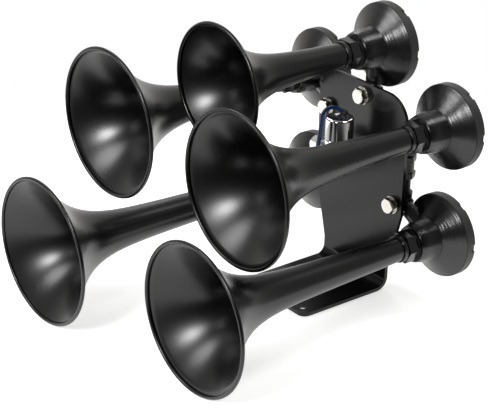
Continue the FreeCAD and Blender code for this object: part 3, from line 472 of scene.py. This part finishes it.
def flare(mouth, start, collar):
    """The inside radius and its slope at a distance from the mouth."""
    reach = mouth * REACH_SHARE
    swell = mouth - BEAD - start

    def inside(along):
        gone = along / reach
        fade = math.exp(-(gone ** FADE_POWER))
        radius = start + (CONE_END - start) * along / collar + swell * fade
        slope = (CONE_END - start) / collar - swell * FADE_POWER / reach * gone ** (FADE_POWER - 1) * fade
        past = max(0.0, along - BEAD) / HOLLOW_AT
        hollow = HOLLOW_DEEP * past * math.exp(1.0 - past)
        bend = HOLLOW_DEEP / HOLLOW_AT * math.exp(1.0 - past) * (1.0 - past)
        return radius - hollow, slope - bend

    return inside


def trumpet_rings(mouth, start, length, stations=34):
    """The section from the bore's rear end, along the inside, round the lip and back outside."""
    collar = length - COLLAR_GAP
    inside = flare(mouth, start, collar)
    inner = []
    outer = []
    for step in range(stations + 1):
        along = BEAD + (collar - BEAD) * (step / stations) ** CROWD_POWER
        radius, slope = inside(along)
        unit = WALL / math.hypot(1.0, slope)
        inner.append((along, radius))
        outer.append((along - slope * unit, radius + unit))
    middle = (BEAD, mouth - BEAD)

    def away(ring):
        return math.hypot(ring[0] - middle[0], ring[1] - middle[1])

    clear = BEAD * LIP_CLEAR_SHARE
    inner = [ring for ring in inner if away(ring) > clear]
    outer = [ring for ring in outer if away(ring) > clear]
    lip = []
    for step in range(LIP_STEPS + 1):
        turn = LIP_FIRST + (LIP_LAST - LIP_FIRST) * step / LIP_STEPS
        lip.append((middle[0] + BEAD * math.cos(turn), middle[1] + BEAD * math.sin(turn)))
    front = outer[-1][0]
    end = collar + COLLAR_LONG
    back = end + TAIL_LONG
    behind = [
        (front, COLLAR_RADIUS - COLLAR_EDGE),
        (front + COLLAR_EDGE, COLLAR_RADIUS),
        (end - COLLAR_EDGE, COLLAR_RADIUS),
        (end, COLLAR_RADIUS - COLLAR_EDGE),
        (end, TAIL_RADIUS),
        (back - TAIL_EDGE, TAIL_RADIUS),
        (back, TAIL_RADIUS - TAIL_EDGE),
        (back, BORE_AT_TAIL),
        (end, BORE_AT_COLLAR),
    ]
    rings = list(reversed(inner)) + lip + outer + behind
    return rings + rings[:1]


# %% Five trumpets
TOP_BELL = (64.5, 18.9)
OTHER_BELLS = (78.0, 20.4)
for name, (across, high) in HORNS.items():
    mouth, start = TOP_BELL if name == "top" else OTHER_BELLS
    rings = trumpet_rings(mouth, start, HORN_LENGTH[name])
    centre = (across, CHAMBER_FRONT - HORN_LENGTH[name], high)
    horn = turned(f"spun_trumpet_{name}", rings, centre, "Y", sides=160)
    hang(horn, ROOT, "horn_black", f"trumpet_{name}")
    print(horn.name, len(horn.data.polygons), "faces")

# %% [markdown]
# ## Cast, pressed and machined pieces
# No metal edge is truly sharp. Castings leave the mould rounded, a plate is tumbled before it is
# coated, and paint draws back from corners. Such narrow rounds catch the lamps, and their bright
# lines are what shows a shape in black paint. The solids already have the true forms, so their
# surfaces are copied, the loose triangles are merged into whole faces, and a Bevel modifier rounds
# every edge that is sharper than a set angle. Smooth shading would now bend the light over the
# flat faces too, so a Weighted Normal modifier lets the large faces keep their own direction.

# %% Rounded edges
COPY_DOUBLES = 2e-6
FLAT_WITHIN = math.radians(0.5)


def softened(name, slot, nodes, width, steps=2, sharp=30.0):
    """The nodes' own surfaces as one new piece, with each sharp edge rounded by width, in mm."""
    let_go()
    for node in nodes:
        copy = bpy.data.objects.new(name, frame["nodes"][node].data.copy())
        bpy.context.scene.collection.objects.link(copy)
        copy.select_set(True)
        bpy.context.view_layer.objects.active = copy
    if len(nodes) > 1:
        bpy.ops.object.join()
    piece = bpy.context.object
    bpy.ops.object.mode_set(mode="EDIT")
    bpy.ops.mesh.select_all(action="SELECT")
    bpy.ops.mesh.remove_doubles(threshold=COPY_DOUBLES)
    bpy.ops.mesh.dissolve_limited(angle_limit=FLAT_WITHIN)
    bpy.ops.mesh.normals_make_consistent(inside=False)
    bpy.ops.object.mode_set(mode="OBJECT")
    round_over = piece.modifiers.new("round_over", "BEVEL")
    round_over.width = width * MM
    round_over.segments = steps
    round_over.limit_method = "ANGLE"
    round_over.angle_limit = math.radians(sharp)
    bpy.ops.object.modifier_apply(modifier=round_over.name)
    bpy.ops.object.shade_smooth_by_angle(angle=math.radians(sharp + 15.0))
    level = piece.modifiers.new("flat_faces_stay_flat", "WEIGHTED_NORMAL")
    level.keep_sharp = True
    bpy.ops.object.modifier_apply(modifier=level.name)
    hang(piece, ROOT, slot, *nodes)
    print(piece.name, len(piece.data.polygons), "faces")


# %% Plate, chambers, caps and nuts
softened("bent_plate", "plate_black", ["mounting_bracket"], 0.6, steps=3)
for name in HORNS:
    softened(f"cast_chamber_{name}", "chamber_black", [f"chamber_{name}"], 0.35)
    softened(f"screwed_cap_{name}", "cap_black", [f"cap_{name}"], 0.5)
softened("jam_nuts", "nut_black", ["lock_nuts"], 0.4)
softened("hexagon_bolts", "zinc", ["bracket_bolts"], 0.4)
softened("flat_washers", "zinc", ["bracket_washers"], 0.25)

# %% Fittings and valve
FITTINGS = (
    "cross_fitting",
    "tee_left",
    "tee_right",
    "top_fitting",
    "elbow_upper_left",
    "elbow_upper_right",
    "elbow_lower_left",
    "elbow_lower_right",
)
for node in FITTINGS:
    softened(f"cast_{node}", "fitting_black", [node], 0.6)
softened("machined_valve_body", "valve_metal", ["valve_body"], 0.5)
softened("machined_bonnet", "valve_metal", ["bonnet"], 0.4)
softened("chromed_inlet", "chrome", ["inlet_fitting"], 0.3)
softened("rubber_boot", "seal_rubber", ["lead_boot"], 0.3)

# %% [markdown]
# ## Threads and a spring
# The two lower nipples are threaded all along, and the riser near both ends. A thread is one
# ridge that climbs round the pipe: a small diamond, half of it sunk in the pipe's wall, is swept
# by a Screw modifier, which turns and lifts it by one pitch in each round. The valve's return
# spring is the same sweep with a round section. Its top rests on the fixed stop and the plunger presses
# it from below, so the real spring gets shorter as the plunger lifts; here it is wound at one length.

# %% Screw sweeps
PIPE_PITCH = 1.41
PIPE_RADIUS = 6.6
THREAD_DEPTH = 0.35
THREAD_FOOT_SHARE = 0.46
SWEEP_STEPS = 28
SWEEP_SMOOTH = math.radians(32.0)


def climb(name, corners, radius, deep, tall, pitch, turns):
    """A ridge or a wire that climbs round the Z axis from the floor, closed at both ends, in mm."""
    let_go()
    side = (radius * MM, 0.0, 0.0)
    bpy.ops.mesh.primitive_circle_add(vertices=corners, radius=deep * MM, location=side, rotation=LAY["Y"])
    ridge = bpy.context.object
    ridge.name = name
    bpy.ops.object.transform_apply(location=True, rotation=True, scale=True)
    bpy.ops.object.mode_set(mode="EDIT")
    bpy.ops.mesh.select_all(action="SELECT")
    bpy.ops.transform.resize(value=(1.0, 1.0, tall / deep), center_override=side)
    bpy.ops.object.mode_set(mode="OBJECT")
    sweep = ridge.modifiers.new("sweep", "SCREW")
    sweep.axis = "Z"
    sweep.steps = SWEEP_STEPS
    sweep.render_steps = SWEEP_STEPS
    sweep.screw_offset = pitch * MM
    sweep.iterations = turns
    bpy.ops.object.modifier_apply(modifier=sweep.name)
    bpy.ops.object.mode_set(mode="EDIT")
    bpy.ops.mesh.select_all(action="SELECT")
    bpy.ops.mesh.fill_holes(sides=corners)
    bpy.ops.mesh.normals_make_consistent(inside=False)
    bpy.ops.object.mode_set(mode="OBJECT")
    bpy.ops.object.shade_smooth_by_angle(angle=SWEEP_SMOOTH)
    return ridge


def settle(piece, place):
    """Puts an upright piece in place, in mm, and leaves its object at the origin."""
    piece.location = Vector(place) * MM
    bpy.ops.object.transform_apply(location=True, rotation=True, scale=True)


def thread(name, start, length):
    """The thread of an upright pipe, from its start and as long as whole turns allow, in mm."""
    turns = max(1, int(length / PIPE_PITCH) - 1)
    ridge = climb(name, 4, PIPE_RADIUS, THREAD_DEPTH, THREAD_FOOT_SHARE * PIPE_PITCH, PIPE_PITCH, turns)
    spare = (length - turns * PIPE_PITCH) / 2
    settle(ridge, (start[0], start[1], start[2] + spare))
    hang(ridge, ROOT, "pipe_black")


# %% Threads of the nipples and the riser
PIPE_LINE = 76.5
CHAIN_SIDE = 54.0
for side, word in ((-1, "left"), (1, "right")):
    thread(f"lower_nipple_thread_{word}", (side * CHAIN_SIDE, PIPE_LINE, 113.0), 17.0)
thread("riser_thread_low", (0.0, PIPE_LINE, 159.0), 9.0)
thread("riser_thread_high", (0.0, PIPE_LINE, 181.0), 9.0)
print("threads at", PIPE_LINE, "mm behind the foot's middle")

# %% Return spring
SPRING_TURNS = 5
SPRING_WIRE = 0.3
SPRING_RADIUS = 2.7
spring_low, spring_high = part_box("return_spring")
spring_bottom = spring_low[2] / MM
spring_pitch = (spring_high[2] / MM - spring_bottom - 2 * SPRING_WIRE) / SPRING_TURNS
spring = climb("wound_return_spring", 12, SPRING_RADIUS, SPRING_WIRE, SPRING_WIRE, spring_pitch, SPRING_TURNS)
settle(spring, (0.0, VALVE_LINE, spring_bottom + SPRING_WIRE))
hang(spring, ROOT, "spring_steel", "return_spring")
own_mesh(spring)

# %% [markdown]
# ## Coil can
# The can is drawn from sheet and chromed: a rounded shoulder, a shallow bowl in its top and a
# lip at the foot where it is crimped. Chrome shows only what it mirrors, so a flat top would be
# one plain patch, while the bowl and the shoulder, with a ring for every few degrees of their
# round, gather the whole room. The section is turned like the trumpets.

# %% Chrome can
CAN_FOOT = (0.0, VALVE_LINE, 159.9)
SHOULDER_MIDDLE = (27.2, 12.8)
SHOULDER_ROUND = 2.0
SHOULDER_STEPS = 8
BOWL_BRIM = 29.15
BOWL_DEEP = 1.75
BOWL_RADIUS = 11.6
BOWL_POWER = 1.3
BOWL_STEPS = 10
LEAST_RADIUS = 0.05
CAN_CRIMP = [(5.6, 14.8), (5.2, 14.95), (4.9, 15.3), (4.5, 15.4), (0.4, 15.4), (0.1, 15.25), (0.0, 14.9)]
CAN_INSIDE = [(0.0, 13.9), (26.9, 13.9), (26.9, LEAST_RADIUS)]
bowl = []
for step in range(BOWL_STEPS + 1):
    dip = BOWL_DEEP * math.cos(math.radians(90 * step / BOWL_STEPS)) ** BOWL_POWER
    bowl.append((BOWL_BRIM - dip, max(LEAST_RADIUS, BOWL_RADIUS * step / BOWL_STEPS)))
shoulder = []
for step in range(SHOULDER_STEPS + 1):
    turn = math.radians(90 - 90 * step / SHOULDER_STEPS)
    high = SHOULDER_MIDDLE[0] + SHOULDER_ROUND * math.sin(turn)
    shoulder.append((high, SHOULDER_MIDDLE[1] + SHOULDER_ROUND * math.cos(turn)))
can_rings = bowl + shoulder + CAN_CRIMP + CAN_INSIDE
can = turned("drawn_coil_can", can_rings, CAN_FOOT, "Z", sides=128, sharp=40.0)
hang(can, ROOT, "chrome", "coil_can")
print(can.name, len(can.data.polygons), "faces")

# %% [markdown]
# ## Coil winding
# Inside the can more than forty turns of enamelled wire lie side by side in each layer. Only the
# outer layer could ever be seen, so its round is a turned section with one small swell for
# each turn of wire.

# %% Copper winding
WIRE_TURNS = 44
WINDING_INNER = 7.5
WIRE_VALLEY = 12.5
WIRE_FLANK = 12.74
WIRE_CREST = 12.8
low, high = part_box("coil_winding")
wire_long = (high[2] - low[2]) / MM
wire_pitch = wire_long / WIRE_TURNS
wire_swell = ((0.25, WIRE_FLANK), (0.5, WIRE_CREST), (0.75, WIRE_FLANK), (1.0, WIRE_VALLEY))
wire_rings = [(0.0, WINDING_INNER), (0.0, WIRE_VALLEY)]
for turn in range(WIRE_TURNS):
    wire_rings += [((turn + share) * wire_pitch, radius) for share, radius in wire_swell]
wire_rings += [(wire_long, WINDING_INNER), (0.0, WINDING_INNER)]
winding = turned("wound_coil", wire_rings, (0.0, VALVE_LINE, low[2] / MM), "Z", sides=64, sharp=50.0)
hang(winding, ROOT, "winding_copper", "coil_winding")
print(winding.name, len(winding.data.polygons), "faces")
